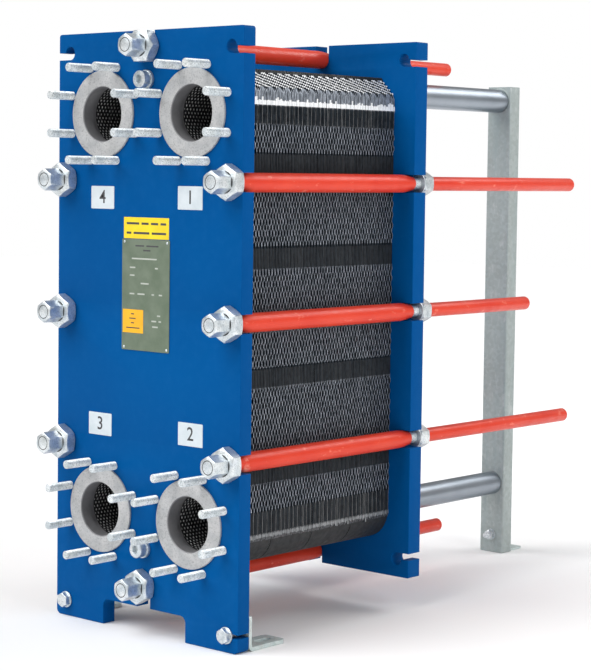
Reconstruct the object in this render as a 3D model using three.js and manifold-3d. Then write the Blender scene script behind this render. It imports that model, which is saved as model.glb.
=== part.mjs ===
// A gasketed plate heat exchanger with four DN 100 ports: a fixed frame plate, a pack of
// corrugated plates on two round bars, a sliding pressure plate and eight tie bolts.
// Millimetres. X runs across the plates, Y from the frame plate to the column, Z is up.
// Every piece is laid out from the frame plate's front face (Y = 0) on the floor (Z = 0), and
// the whole is then moved back, so that the origin is the middle of the footprint.
import * as THREE from 'three';
import { mergeVertices } from 'three/addons/utils/BufferGeometryUtils.js';
import Module from 'manifold-3d';

const wasm = await Module();
wasm.setup();

// ---- driving dimensions -------------------------------------------------------------------
const GAP = 0.3; // clearance between pieces that touch

const PLATE_WIDTH = 464; // both end plates
const FRAME_TOP = 1078;
const FRAME_THICKNESS = 29;
const FOOT_CUT = { halfWidth: 105, top: 46, radius: 12 };
const FOOT_CORNER = 10;

const PRESSURE = { bottom: 62.4, top: 1077, thickness: 35.5 };
const PACK_LENGTH = 444.5; // from the frame plate to the pressure plate, tightened
const PRESSURE_FRONT = FRAME_THICKNESS + PACK_LENGTH;
const PRESSURE_BACK = PRESSURE_FRONT + PRESSURE.thickness;

const PACK = { halfWidth: 183, bottom: 130, top: 1012, corner: 57, groups: 4, portRadius: 50 };

const BAR = { radius: 25, upper: 991, lower: 154 };
const BUSH_RADIUS = 29;
const COLUMN = { front: 1069, width: 61, depth: 36, wall: 3, height: 1022 };

// DN 100 PN 16: eight M16 studs on a 180 mm circle, 158 mm raised face
const PORT = { x: 112.5, upper: 931, lower: 211.6, bore: 49, tube: 54, face: 79, proud: 4 };
const STUD = { count: 8, circle: 90, radius: 8, out: 56, depth: 17 };
const STUD_RING = { halfWidth: 9, start: 14, end: 20 };

// tie bolts
const ROD_RADIUS = 11.5;
const SLEEVE_BORE = ROD_RADIUS + 0.4;
const TIE_X = 210;
const TIE_SLOT_RADIUS = 16.5;
const FRONT_NUT = { across: 55, length: 22 };
const BOLT_HEAD = { across: 35, length: 34 };
const REAR_NUT = { across: 41, length: 28 };
const FRONT_SLEEVE = { start: 12, end: 490, radius: 17, neck: 13.7, taper: 30 };
const REAR_SLEEVE_RADIUS = 13.5;
const TIE_BOLTS = [
  { name: 'upper_left', x: -TIE_X, z: 812, end: 1031, opens: 'left' },
  { name: 'upper_right', x: TIE_X, z: 812, end: 1031, opens: 'right' },
  { name: 'middle_left', x: -TIE_X, z: 570, end: 876, opens: 'left' },
  { name: 'middle_right', x: TIE_X, z: 570, end: 876, opens: 'right' },
  { name: 'lower_left', x: -TIE_X, z: 328, end: 1023, opens: 'left' },
  { name: 'lower_right', x: TIE_X, z: 328, end: 1023, opens: 'right' },
  { name: 'top_centre', x: 0, z: 1049.6, end: 876, opens: 'up' },
  { name: 'bottom_centre', x: 0, z: 86, end: 871, opens: 'down' },
];

// lifting eyes: a hole with a narrow slot to the side edge
const EYE = { x: 203, upper: 1043, lower: 97, radius: 12, slot: 13, offset: 5.5 };

const FOOT_BOLT = { x: 205, z: 30, radius: 8, washer: 15, across: 24, head: 10, nut: 13, tail: 6 };
const FOOT_SLOT = 7; // from the foot bolt's hole to the side edge
const BRACKET = { thickness: 7, width: 50, height: 62, reach: 96, middle: 207, corner: 10 };
const COLUMN_BRACKET = { thickness: 4.5, width: 50, height: 58, reach: 47.7, corner: 6 };
const COLUMN_BOLT = { z: 39, radius: 6, washer: 12, across: 19, head: 8, nut: 10, tail: 11 };
const BAR_SCREW = { radius: 10, head: 15, headLength: 16, washer: 17, washerLength: 6, depth: 62 };
const ANCHOR_SLOT = { middle: 0.64, half: 0.12 }; // as parts of a bracket's reach

const NAMEPLATE = { width: 120, bottom: 509, top: 708, thickness: 1 };

const FRONT_END = -(FRONT_NUT.length + BOLT_HEAD.length + GAP);
const REAR_END = COLUMN.front + COLUMN.depth + GAP + COLUMN_BRACKET.reach;
const ORIGIN_Y = (FRONT_END + REAR_END) / 2;

// ---- materials ----------------------------------------------------------------------------
const look = (color, roughness, metalness) =>
  new THREE.MeshStandardMaterial({ color, roughness, metalness });
const BLUE_PAINT = look(0x0058a2, 0.42, 0.0);
const STAINLESS = look(0xb9bab8, 0.45, 0.9);
const ZINC = look(0xc9cdcc, 0.38, 0.9);
const GALVANISED = look(0xaab0ad, 0.55, 0.7);
const POLISHED = look(0xc4c8cb, 0.2, 1.0);
const RED_PLASTIC = look(0xe84a33, 0.45, 0.0);
const PLATE_PACK = look(0x44484b, 0.5, 0.6);
const BRONZE = look(0x9a7a48, 0.4, 0.9);

// ---- solids -------------------------------------------------------------------------------
// A closed mesh as a manifold-3d solid, with its faces turned outwards.
function solid(geometry) {
  const bare = geometry.clone();
  bare.deleteAttribute('normal');
  bare.deleteAttribute('uv');
  const merged = mergeVertices(bare, 1e-4);
  const points = merged.attributes.position.array;
  const corners = Uint32Array.from(merged.index.array);
  const kept = [];
  for (let i = 0; i < corners.length; i += 3) {
    const [a, b, c] = corners.subarray(i, i + 3);
    if (a !== b && b !== c && c !== a) kept.push(a, b, c);
  }
  if (signedVolume(points, kept) < 0) kept.reverse();
  return new wasm.Manifold(new wasm.Mesh({
    numProp: 3,
    vertProperties: Float32Array.from(points),
    triVerts: Uint32Array.from(kept),
  }));
}

function signedVolume(points, corners) {
  const at = (i) => new THREE.Vector3().fromArray(points, 3 * i);
  let sum = 0;
  for (let i = 0; i < corners.length; i += 3) {
    sum += at(corners[i]).dot(at(corners[i + 1]).cross(at(corners[i + 2])));
  }
  return sum / 6;
}

function geometryOf(body) {
  const { vertProperties, triVerts } = body.getMesh();
  const geometry = new THREE.BufferGeometry();
  geometry.setAttribute('position', new THREE.BufferAttribute(vertProperties, 3));
  geometry.setIndex(new THREE.BufferAttribute(triVerts, 1));
  geometry.computeVertexNormals();
  return geometry;
}

// A flat outline in X and Z, made solid from y = start to y = end.
function slab(shape, start, end, curveSegments = 6) {
  const depth = end - start;
  const geometry = new THREE.ExtrudeGeometry(shape, { depth, bevelEnabled: false, curveSegments });
  return solid(geometry.rotateX(Math.PI / 2).translate(0, end, 0));
}

// A cylinder or prism along Y; with 6 sides it is a hexagon with a corner up.
function rod(radius, start, end, x, z, sides = 16, turn = 0) {
  const geometry = new THREE.CylinderGeometry(radius, radius, end - start, sides, 1, false, turn);
  return solid(geometry.translate(x, (start + end) / 2, z));
}

// A solid of revolution about Y from [radius, y] points.
function turned(profile, x, z, sides = 24) {
  const points = profile.map(([radius, y]) => new THREE.Vector2(radius, y));
  return solid(new THREE.LatheGeometry(points, sides).translate(x, 0, z));
}

function block(x0, x1, y0, y1, z0, z1) {
  const geometry = new THREE.BoxGeometry(x1 - x0, y1 - y0, z1 - z0);
  return solid(geometry.translate((x0 + x1) / 2, (y0 + y1) / 2, (z0 + z1) / 2));
}

const hexRadius = (across) => across / Math.sqrt(3);
const hex = (across, start, end, x, z, turn = 0) =>
  rod(hexRadius(across), start, end, x, z, 6, turn);

const together = (bodies) => bodies.reduce((whole, body) => whole.add(body));
const cutBy = (body, cutters) => cutters.reduce((whole, cutter) => whole.subtract(cutter), body);

const exchanger = new THREE.Group();

function place(name, body, material) {
  const mesh = new THREE.Mesh(geometryOf(body), material);
  mesh.name = name;
  exchanger.add(mesh);
}

// ---- outlines -----------------------------------------------------------------------------
function rectangle(x0, x1, z0, z1) {
  const shape = new THREE.Shape();
  shape.moveTo(x0, z0);
  shape.lineTo(x1, z0);
  shape.lineTo(x1, z1);
  shape.lineTo(x0, z1);
  shape.closePath();
  return shape;
}

function roundedRectangle(x0, x1, z0, z1, radius) {
  const shape = new THREE.Shape();
  shape.moveTo(x0 + radius, z0);
  shape.lineTo(x1 - radius, z0);
  shape.absarc(x1 - radius, z0 + radius, radius, -Math.PI / 2, 0, false);
  shape.lineTo(x1, z1 - radius);
  shape.absarc(x1 - radius, z1 - radius, radius, 0, Math.PI / 2, false);
  shape.lineTo(x0 + radius, z1);
  shape.absarc(x0 + radius, z1 - radius, radius, Math.PI / 2, Math.PI, false);
  shape.lineTo(x0, z0 + radius);
  shape.absarc(x0 + radius, z0 + radius, radius, Math.PI, 1.5 * Math.PI, false);
  return shape;
}

// The frame plate: two feet with a cut-out between them.
function framePlateShape() {
  const half = PLATE_WIDTH / 2;
  const { halfWidth, top, radius } = FOOT_CUT;
  const shape = new THREE.Shape();
  shape.moveTo(-half + FOOT_CORNER, 0);
  shape.lineTo(-halfWidth, 0);
  shape.lineTo(-halfWidth, top - radius);
  shape.absarc(-halfWidth + radius, top - radius, radius, Math.PI, Math.PI / 2, true);
  shape.lineTo(halfWidth - radius, top);
  shape.absarc(halfWidth - radius, top - radius, radius, Math.PI / 2, 0, true);
  shape.lineTo(halfWidth, 0);
  shape.lineTo(half - FOOT_CORNER, 0);
  shape.absarc(half - FOOT_CORNER, FOOT_CORNER, FOOT_CORNER, -Math.PI / 2, 0, false);
  shape.lineTo(half, FRAME_TOP);
  shape.lineTo(-half, FRAME_TOP);
  shape.lineTo(-half, FOOT_CORNER);
  shape.absarc(-half + FOOT_CORNER, FOOT_CORNER, FOOT_CORNER, Math.PI, 1.5 * Math.PI, false);
  return shape;
}

// An open slot: a round end at x, z and straight sides out past the plate's edge.
const PAST = 60;
function slotCutter(x, z, radius, opens, start, end) {
  const ways = {
    left: [x - PAST, x, z - radius, z + radius],
    right: [x, x + PAST, z - radius, z + radius],
    up: [x - radius, x + radius, z, z + PAST],
    down: [x - radius, x + radius, z - PAST, z],
  };
  const [x0, x1, z0, z1] = ways[opens];
  return rod(radius, start, end, x, z, 16).add(block(x0, x1, start, end, z0, z1));
}

const tieSlots = (start, end) =>
  TIE_BOLTS.map(({ x, z, opens }) => slotCutter(x, z, TIE_SLOT_RADIUS, opens, start, end));

function liftingEyes(z, slotOffset, start, end) {
  return [-1, 1].flatMap((side) => {
    const x = side * EYE.x;
    const opens = side < 0 ? 'left' : 'right';
    const hole = rod(EYE.radius, start, end, x, z);
    const slot = slotCutter(x, z + slotOffset, EYE.slot / 2, opens, start, end);
    return [hole, slot];
  });
}

// ---- ports --------------------------------------------------------------------------------
const PORTS = [
  { name: 'upper_left', x: -PORT.x, z: PORT.upper },
  { name: 'upper_right', x: PORT.x, z: PORT.upper },
  { name: 'lower_left', x: -PORT.x, z: PORT.lower },
  { name: 'lower_right', x: PORT.x, z: PORT.lower },
];

function portLiner({ x, z }) {
  return turned([
    [PORT.bore, -PORT.proud],
    [PORT.face, -PORT.proud],
    [PORT.face, -GAP],
    [PORT.tube, -GAP],
    [PORT.tube, FRAME_THICKNESS],
    [PORT.bore, FRAME_THICKNESS],
    [PORT.bore, -PORT.proud],
  ], x, z, 32);
}

// Eight studs of one port. A thin ring, buried in the plate, holds them in one body.
function portStuds({ x, z }, grown = 0) {
  const inner = STUD.circle - STUD_RING.halfWidth - grown;
  const outer = STUD.circle + STUD_RING.halfWidth + grown;
  const start = STUD_RING.start - grown;
  const end = STUD_RING.end + grown;
  const section = [[inner, start], [outer, start], [outer, end], [inner, end], [inner, start]];
  const ring = turned(section, x, z, 16);
  const studs = Array.from({ length: STUD.count }, (_, i) => {
    const angle = (i + 0.5) * 2 * Math.PI / STUD.count;
    const studX = x + STUD.circle * Math.cos(angle);
    const studZ = z + STUD.circle * Math.sin(angle);
    return rod(STUD.radius + grown, -STUD.out - grown, STUD.depth + grown, studX, studZ, 8);
  });
  return together([ring, ...studs]);
}

for (const port of PORTS) {
  place(`port_liner_${port.name}`, portLiner(port), STAINLESS);
  place(`port_studs_${port.name}`, portStuds(port), ZINC);
}

// ---- end plates ---------------------------------------------------------------------------
function framePlate() {
  const before = -5;
  const after = FRAME_THICKNESS + 5;
  const cutters = [
    ...tieSlots(before, after),
    ...liftingEyes(EYE.upper, -EYE.offset, before, after),
    ...PORTS.map(({ x, z }) => rod(PORT.tube + GAP, before, after, x, z, 32)),
    ...PORTS.map((port) => portStuds(port, GAP)),
    rod(BAR_SCREW.radius + GAP, before, after, 0, BAR.upper),
    rod(BAR_SCREW.radius + GAP, before, after, 0, BAR.lower),
    slotCutter(-FOOT_BOLT.x, FOOT_BOLT.z, FOOT_SLOT / 2, 'left', before, after),
    slotCutter(FOOT_BOLT.x, FOOT_BOLT.z, FOOT_SLOT / 2, 'right', before, after),
    rod(FOOT_BOLT.radius + 1, before, after, -FOOT_BOLT.x, FOOT_BOLT.z),
    rod(FOOT_BOLT.radius + 1, before, after, FOOT_BOLT.x, FOOT_BOLT.z),
  ];
  return cutBy(slab(framePlateShape(), 0, FRAME_THICKNESS), cutters);
}

function pressurePlate() {
  const before = PRESSURE_FRONT - 5;
  const after = PRESSURE_BACK + 5;
  const half = PLATE_WIDTH / 2;
  const outline = rectangle(-half, half, PRESSURE.bottom, PRESSURE.top);
  const cutters = [
    ...tieSlots(before, after),
    ...liftingEyes(EYE.upper, -EYE.offset, before, after),
    ...liftingEyes(EYE.lower, EYE.offset, before, after),
    rod(BUSH_RADIUS + GAP, before, after, 0, BAR.upper, 24),
    rod(BUSH_RADIUS + GAP, before, after, 0, BAR.lower, 24),
  ];
  return cutBy(slab(outline, PRESSURE_FRONT, PRESSURE_BACK), cutters);
}

function slideBush(z) {
  const bore = rod(BAR.radius + GAP, PRESSURE_FRONT - 5, PRESSURE_BACK + 5, 0, z, 24);
  return rod(BUSH_RADIUS, PRESSURE_FRONT, PRESSURE_BACK, 0, z, 24).subtract(bore);
}

place('frame_plate', framePlate(), BLUE_PAINT);
place('pressure_plate', pressurePlate(), BLUE_PAINT);
place('hanger_bush', slideBush(BAR.upper), BRONZE);
place('guide_bush', slideBush(BAR.lower), BRONZE);

// ---- plate pack ---------------------------------------------------------------------------
// Each group stands for a quarter of the corrugated plates, which slide on the two bars.
function plateGroup(index) {
  const { halfWidth, bottom, top, corner, groups, portRadius } = PACK;
  const length = (PACK_LENGTH - 2 * GAP - (groups - 1) * GAP) / groups;
  const start = FRAME_THICKNESS + GAP + index * (length + GAP);
  const end = start + length;
  const outline = roundedRectangle(-halfWidth, halfWidth, bottom, top, corner);
  const notch = BAR.radius + 1.5;
  const cutters = [
    ...PORTS.map(({ x, z }) => rod(portRadius, start - 5, end + 5, x, z, 24)),
    slotCutter(0, BAR.upper, notch, 'up', start - 5, end + 5),
    slotCutter(0, BAR.lower, notch, 'down', start - 5, end + 5),
  ];
  return cutBy(slab(outline, start, end), cutters);
}

for (let index = 0; index < PACK.groups; index += 1) {
  place(`plate_group_${index + 1}`, plateGroup(index), PLATE_PACK);
}

// ---- bars, column and feet ----------------------------------------------------------------
function bar(z) {
  const start = FRAME_THICKNESS + GAP;
  const whole = rod(BAR.radius, start, COLUMN.front - GAP, 0, z, 24);
  const tapping = rod(BAR_SCREW.radius + GAP, start - 5, BAR_SCREW.depth + 5, 0, z);
  return whole.subtract(tapping);
}

// A socket-head screw with its spring washer, from the front into the end of a bar.
function barScrew(z) {
  const face = -GAP;
  const washer = rod(BAR_SCREW.washer, face - BAR_SCREW.washerLength, face, 0, z);
  const headStart = face - BAR_SCREW.washerLength - BAR_SCREW.headLength;
  const head = rod(BAR_SCREW.head, headStart, face - 1, 0, z);
  const shank = rod(BAR_SCREW.radius, face - 1, BAR_SCREW.depth, 0, z);
  const socket = hex(17, headStart - 5, headStart + 10, 0, z);
  return together([washer, head, shank]).subtract(socket);
}

function supportColumn() {
  const half = COLUMN.width / 2;
  const { front, depth, wall, height } = COLUMN;
  const back = front + depth;
  const outer = block(-half, half, front, back, 0, height);
  const hollow = block(-half + wall, half - wall, front + wall, back - wall, -5, height + 5);
  const boltHole = rod(COLUMN_BOLT.radius + GAP, front - 5, back + 5, 0, COLUMN_BOLT.z);
  return cutBy(outer, [hollow, boltHole]);
}

// An angle bracket: one leg up against the plate or column, one leg along the floor.
function footBracket(middle, start, size, boltHole, slotRadius) {
  const { width, height, thickness, reach } = size;
  const half = width / 2;
  const upright = block(middle - half, middle + half, start, start + thickness, 0, height);
  const leg = floorLeg(middle, start, size);
  const y = start + reach * ANCHOR_SLOT.middle;
  const slot = floorSlot(middle, y, reach * ANCHOR_SLOT.half, slotRadius, thickness);
  return cutBy(upright.add(leg), [boltHole, slot]);
}

function floorLeg(middle, start, { width, reach, corner, thickness }) {
  const half = width / 2;
  const end = start + reach;
  const shape = new THREE.Shape();
  shape.moveTo(middle - half, start);
  shape.lineTo(middle + half, start);
  shape.absarc(middle + half - corner, end - corner, corner, 0, Math.PI / 2, false);
  shape.absarc(middle - half + corner, end - corner, corner, Math.PI / 2, Math.PI, false);
  const options = { depth: thickness, bevelEnabled: false, curveSegments: 5 };
  return solid(new THREE.ExtrudeGeometry(shape, options));
}

function floorSlot(x, y, half, radius, thickness) {
  const shape = new THREE.Shape();
  shape.absarc(x, y + half, radius, 0, Math.PI, false);
  shape.absarc(x, y - half, radius, Math.PI, 2 * Math.PI, false);
  const options = { depth: thickness + 10, bevelEnabled: false, curveSegments: 8 };
  return solid(new THREE.ExtrudeGeometry(shape, options).translate(0, 0, -5));
}

// A hexagon bolt between two faces, in one piece with its washers and nut. The head is on the
// first face and the nut on the second; way is 1 when the nut is towards +Y and -1 otherwise.
function throughBolt(x, z, size, headFace, nutFace, way) {
  const { radius, washer, across, head, nut, tail } = size;
  const thin = radius * 0.3;
  const along = (reach, sides, from, to) =>
    rod(reach, Math.min(from, to), Math.max(from, to), x, z, sides);
  const headStart = headFace - way * thin;
  const nutStart = nutFace + way * thin;
  return together([
    along(radius, 12, headStart, nutStart + way * (nut + tail)),
    along(washer, 16, headStart, headFace),
    along(hexRadius(across), 6, headStart - way * head, headStart),
    along(washer, 16, nutFace, nutStart),
    along(hexRadius(across), 6, nutStart, nutStart + way * nut),
  ]);
}

place('support_column', supportColumn(), GALVANISED);
place('carrying_bar', bar(BAR.upper), POLISHED);
place('guide_bar', bar(BAR.lower), POLISHED);
place('carrying_bar_screw', barScrew(BAR.upper), ZINC);
place('guide_bar_screw', barScrew(BAR.lower), ZINC);

for (const [side, name] of [[-1, 'left'], [1, 'right']]) {
  const x = side * FOOT_BOLT.x;
  const start = FRAME_THICKNESS + GAP;
  const hole = rod(FOOT_BOLT.radius + GAP, start - 5, start + 20, x, FOOT_BOLT.z);
  const bracket = footBracket(side * BRACKET.middle, start, BRACKET, hole, 7);
  place(`front_foot_bracket_${name}`, bracket, GALVANISED);
  const back = start + BRACKET.thickness + GAP;
  place(`foot_bolt_${name}`, throughBolt(x, FOOT_BOLT.z, FOOT_BOLT, -GAP, back, 1), ZINC);
}

const columnBracketStart = COLUMN.front + COLUMN.depth + GAP;
const columnBracketBack = columnBracketStart + COLUMN_BRACKET.thickness + GAP;
const columnBracketHole =
  rod(COLUMN_BOLT.radius + GAP, columnBracketStart - 5, columnBracketStart + 20, 0, COLUMN_BOLT.z);
const columnBracket = footBracket(0, columnBracketStart, COLUMN_BRACKET, columnBracketHole, 5.5);
place('column_foot_bracket', columnBracket, GALVANISED);
const columnBolt =
  throughBolt(0, COLUMN_BOLT.z, COLUMN_BOLT, columnBracketBack, COLUMN.front - GAP, -1);
place('column_foot_bolt', columnBolt, ZINC);

function nameplate() {
  const { width, bottom, top, thickness } = NAMEPLATE;
  return slab(rectangle(-width / 2, width / 2, bottom, top), -GAP - thickness, -GAP);
}

place('nameplate', nameplate(), STAINLESS);

// ---- tie bolts ----------------------------------------------------------------------------
const CAP = 5; // closed end of a rear sleeve

function tieBolt({ x, z, end, opens }) {
  const nutTurn = opens === 'up' ? Math.PI / 6 : 0;
  const nutStart = -GAP - FRONT_NUT.length;
  return together([
    hex(BOLT_HEAD.across, nutStart - BOLT_HEAD.length, nutStart, x, z),
    hex(FRONT_NUT.across, nutStart, -GAP, x, z, nutTurn),
    rod(ROD_RADIUS, nutStart, end - CAP - GAP, x, z, 12),
  ]);
}

// The front sleeve is full in the middle and narrows where it enters the slots.
function frontSleeve({ x, z }) {
  const { start, end, radius, neck, taper } = FRONT_SLEEVE;
  return turned([
    [SLEEVE_BORE, start],
    [neck, start],
    [radius, start + taper],
    [radius, end - taper],
    [neck, end],
    [SLEEVE_BORE, end],
    [SLEEVE_BORE, start],
  ], x, z, 12);
}

function rearNut({ x, z }) {
  const start = PRESSURE_BACK + GAP;
  const end = start + REAR_NUT.length;
  const bore = rod(SLEEVE_BORE, start - 5, end + 5, x, z, 24);
  return hex(REAR_NUT.across, start, end, x, z).subtract(bore);
}

function rearSleeve({ x, z, end }) {
  const start = PRESSURE_BACK + REAR_NUT.length + 2 * GAP;
  const radius = REAR_SLEEVE_RADIUS;
  return turned([
    [SLEEVE_BORE, start],
    [radius, start],
    [radius, end - 3],
    [radius - 3, end],
    [0, end],
    [0, end - CAP],
    [SLEEVE_BORE, end - CAP],
    [SLEEVE_BORE, start],
  ], x, z, 12);
}

for (const bolt of TIE_BOLTS) {
  place(`tie_bolt_${bolt.name}`, tieBolt(bolt), ZINC);
  place(`front_sleeve_${bolt.name}`, frontSleeve(bolt), RED_PLASTIC);
  place(`rear_nut_${bolt.name}`, rearNut(bolt), ZINC);
  place(`rear_sleeve_${bolt.name}`, rearSleeve(bolt), RED_PLASTIC);
}

exchanger.position.y = -ORIGIN_Y;

export default exchanger;
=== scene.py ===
"""The looks of a gasketed plate heat exchanger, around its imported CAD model.

Metres in the row frame: X across the plates, Y from the ports to the column, Z up. Every
place comes from the boxes of the CAD nodes; the constants below are the details that those
solids leave out.
"""
import math
from collections import namedtuple

import bmesh
import bpy
import numpy as np
from mathutils import Matrix, Vector
from mathutils.geometry import tessellate_polygon


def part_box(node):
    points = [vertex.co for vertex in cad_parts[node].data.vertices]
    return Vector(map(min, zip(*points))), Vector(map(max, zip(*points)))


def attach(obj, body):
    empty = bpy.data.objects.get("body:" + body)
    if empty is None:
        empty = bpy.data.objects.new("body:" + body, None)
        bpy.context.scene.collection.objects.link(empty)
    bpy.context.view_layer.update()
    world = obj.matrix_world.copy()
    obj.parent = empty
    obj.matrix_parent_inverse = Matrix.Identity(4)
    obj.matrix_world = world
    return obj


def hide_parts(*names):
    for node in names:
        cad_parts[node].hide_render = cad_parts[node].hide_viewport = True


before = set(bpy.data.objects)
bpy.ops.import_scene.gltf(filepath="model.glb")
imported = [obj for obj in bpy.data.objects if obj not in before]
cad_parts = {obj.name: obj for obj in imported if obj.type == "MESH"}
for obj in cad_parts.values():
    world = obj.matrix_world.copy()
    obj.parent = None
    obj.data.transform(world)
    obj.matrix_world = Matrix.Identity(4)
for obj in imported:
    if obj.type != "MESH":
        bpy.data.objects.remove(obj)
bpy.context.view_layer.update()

MM = 0.001
PORT_NAMES = ("upper_left", "upper_right", "lower_left", "lower_right")
TIE_NAMES = (
    "upper_left", "upper_right", "middle_left", "middle_right",
    "lower_left", "lower_right", "top_centre", "bottom_centre",
)
GROUPS = 4
RANDOM = np.random.default_rng(7)

# ---- where things are, from the frame ----
FRAME_LOW, FRAME_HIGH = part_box("frame_plate")
PRESSURE_LOW, PRESSURE_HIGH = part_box("pressure_plate")
FRONT = FRAME_LOW.y
HALF_WIDTH = FRAME_HIGH.x


def middle(node):
    low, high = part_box(node)
    return (low + high) / 2


def place_of(node):
    """Where an axis along Y through the node's middle is, as x and z."""
    return middle(node).x, middle(node).z


TIES = {name: place_of(f"rear_sleeve_{name}") for name in TIE_NAMES}
PORTS = {name: place_of(f"port_liner_{name}") for name in PORT_NAMES}
BARS = {name: (0, middle(name).z) for name in ("carrying_bar", "guide_bar")}
CARRY, GUIDE = (height for _, height in BARS.values())


# ---- details that the CAD solids leave out ----
SLOT_RADIUS = 16.5 * MM
EYE_RADIUS = 12 * MM
EYE_SLOT = 13 * MM
EYE_DROP = 5.5 * MM
EYE_X = 203 * MM
UPPER_EYE, LOWER_EYE = 1043 * MM, 97 * MM  # above the floor
FOOT_HOLE = 9 * MM
FOOT_SLOT = 7 * MM
EDGE = 1.0 * MM  # rounding of the thick plates' edges
PORT_BORE = 49 * MM
ROD_RADIUS = 11.5 * MM
TUBE_BORE = ROD_RADIUS + 0.4 * MM
NUT_BORE = ROD_RADIUS + 0.5 * MM
BAR_RADIUS = 25 * MM
GAP = 0.3 * MM  # between faces that touch on the real object


# ---- gathering points and faces ----
class Form:
    """The points and faces of one piece, with the number of each face's material."""

    def __init__(self):
        self.points, self.faces, self.parts = [], [], []

    def face(self, corners, part=0):
        self.faces.append(tuple(corners))
        self.parts.append(part)

    def rows(self, rows, part=0, wrap=True, close=False, caps=False):
        """Joins rows of equally many points with four-sided faces.

        part is the material's number, or gives it from a face's row and place in the row.
        """
        number = part if callable(part) else lambda i, j: part
        start, width = len(self.points), len(rows[0])
        for row in rows:
            self.points.extend(row)
        for i in range(len(rows) if close else len(rows) - 1):
            here = start + i * width
            there = start + (i + 1) % len(rows) * width
            for j in range(width if wrap else width - 1):
                k = (j + 1) % width
                self.face((here + j, here + k, there + k, there + j), number(i, j))
        if caps:
            for first in (start, start + (len(rows) - 1) * width):
                self.face(range(first, first + width), part)

    def join(self, other, part=0):
        """Adds another form's points and faces."""
        start = len(self.points)
        self.points += other.points
        for corners in other.faces:
            self.face([start + i for i in corners], part)


def added(name, data):
    """An object of that mesh, light or other data, in the scene."""
    made = bpy.data.objects.new(name, data)
    bpy.context.scene.collection.objects.link(made)
    return made


def piece(form, name, body, materials, stands_for=(), smooth=40):
    """Makes the mesh, rides it on its body and hides the CAD nodes that it stands for."""
    mesh = bpy.data.meshes.new(name)
    mesh.from_pydata(form.points, [], form.faces)
    for material in materials:
        mesh.materials.append(material)
    mesh.polygons.foreach_set("material_index", form.parts)
    work = bmesh.new()
    work.from_mesh(mesh)
    bmesh.ops.remove_doubles(work, verts=work.verts, dist=1e-7)
    bmesh.ops.recalc_face_normals(work, faces=work.faces)
    work.to_mesh(mesh)
    work.free()
    mesh.shade_smooth()
    mesh.set_sharp_from_angle(angle=math.radians(smooth))
    made = added(name, mesh)
    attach(made, body)
    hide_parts(*stands_for)


# ---- shapes around an axis along Y ----
def ring(place, y, radius, sides):
    """Points around the axis, from the top clockwise. radius may depend on the angle."""
    x, z = place
    points = []
    for i in range(sides):
        angle = 2 * math.pi * i / sides
        reach = radius(angle) if callable(radius) else radius
        points.append((x + reach * math.sin(angle), y, z + reach * math.cos(angle)))
    return points


def turned(form, place, profile, sides=48, part=0, closed=False):
    """A solid of revolution from (radius, y) points; closed joins the last to the first."""
    rows = [ring(place, y, max(radius, 1e-5), sides) for radius, y in profile]
    form.rows(rows, part, close=closed, caps=not closed)


def bevelled(inner, outer, near, far, bevel):
    """The profile of a ring or disc with bevelled outer edges."""
    return [
        (inner, near), (outer - bevel, near), (outer, near + bevel),
        (outer, far - bevel), (outer - bevel, far), (inner, far),
    ]


def hexagon(across):
    """Distance from the middle to a hexagon's side, as a function; a corner is at angle 0."""
    sector = math.pi / 3
    return lambda angle: across / 2 / math.cos(angle % sector - sector / 2)


def nut(form, place, start, end, across, turn=0.0, bevels=(True, True), hole=0.0):
    """A hexagon whose corners are cut by a 30 degree cone at its bevelled ends."""
    side = hexagon(across)
    corner = across / math.sqrt(3)
    face = across * 0.475
    depth = (corner - face) * math.tan(math.radians(30))
    shares = (0, 0.1, 0.22, 0.36, 0.52, 0.74, 1)
    cones = [(depth * share, face + (corner - face) * share) for share in shares]
    levels = [(start + inwards, cone if bevels[0] else corner) for inwards, cone in cones]
    levels += [(end - inwards, cone if bevels[1] else corner) for inwards, cone in cones[::-1]]
    rows = [
        ring(place, y, lambda a, cone=cone: min(side(a + turn), cone), 96)
        for y, cone in levels
    ]
    if hole:
        rows += [ring(place, end, hole, 96), ring(place, start, hole, 96)]
    form.rows(rows, close=bool(hole), caps=not hole)


def threaded(form, place, start, end, radius, pitch, part=0, sides=24):
    """A rod with a helical thread and bevelled ends."""
    depth, lead = 0.6 * pitch, 1.2 * MM
    steps = max(2, round((end - start) / pitch * 4))
    rows = []
    for i in range(steps + 1):
        y = start + (end - start) * i / steps
        room = radius - lead + min(y - start, end - y)

        def reach(angle, y=y, room=room):
            phase = (y / pitch - angle / (2 * math.pi)) % 1
            return min(radius - depth * abs(2 * phase - 1), room)

        rows.append(ring(place, y, reach, sides))
    form.rows(rows, part, caps=True)


# ---- plates cut from sheet ----
def arc(centre, radius, start, end, steps):
    """Points of an arc from start to end degrees, both ends included."""
    angles = np.radians(np.linspace(start, end, steps))
    return [(centre[0] + radius * math.cos(a), centre[1] + radius * math.sin(a)) for a in angles]


def rounded(x0, x1, z0, z1, radius, steps=6):
    """A rounded rectangle, anticlockwise."""
    return (
        arc((x1 - radius, z0 + radius), radius, -90, 0, steps)
        + arc((x1 - radius, z1 - radius), radius, 0, 90, steps)
        + arc((x0 + radius, z1 - radius), radius, 90, 180, steps)
        + arc((x0 + radius, z0 + radius), radius, 180, 270, steps)
    )


def circle(place, radius, steps):
    """A hole: a clockwise circle."""
    return arc(place, radius, 360, 360 / steps, steps)


def keyhole(edge, across, along, radius, low, high):
    """A hole open to an edge that faces +X, walking up: low and high are the opening's ends."""
    first = math.degrees(math.asin(max(-1, (low - along) / radius)))
    last = math.degrees(math.asin(min(1, (high - along) / radius)))
    return [(edge, low)] + arc((across, along), radius, first, last - 360, 20) + [(edge, high)]


def port_holes(radius, steps=48):
    """Holes around the axes of the four ports."""
    return [circle(place, radius, steps) for place in PORTS.values()]


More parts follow.
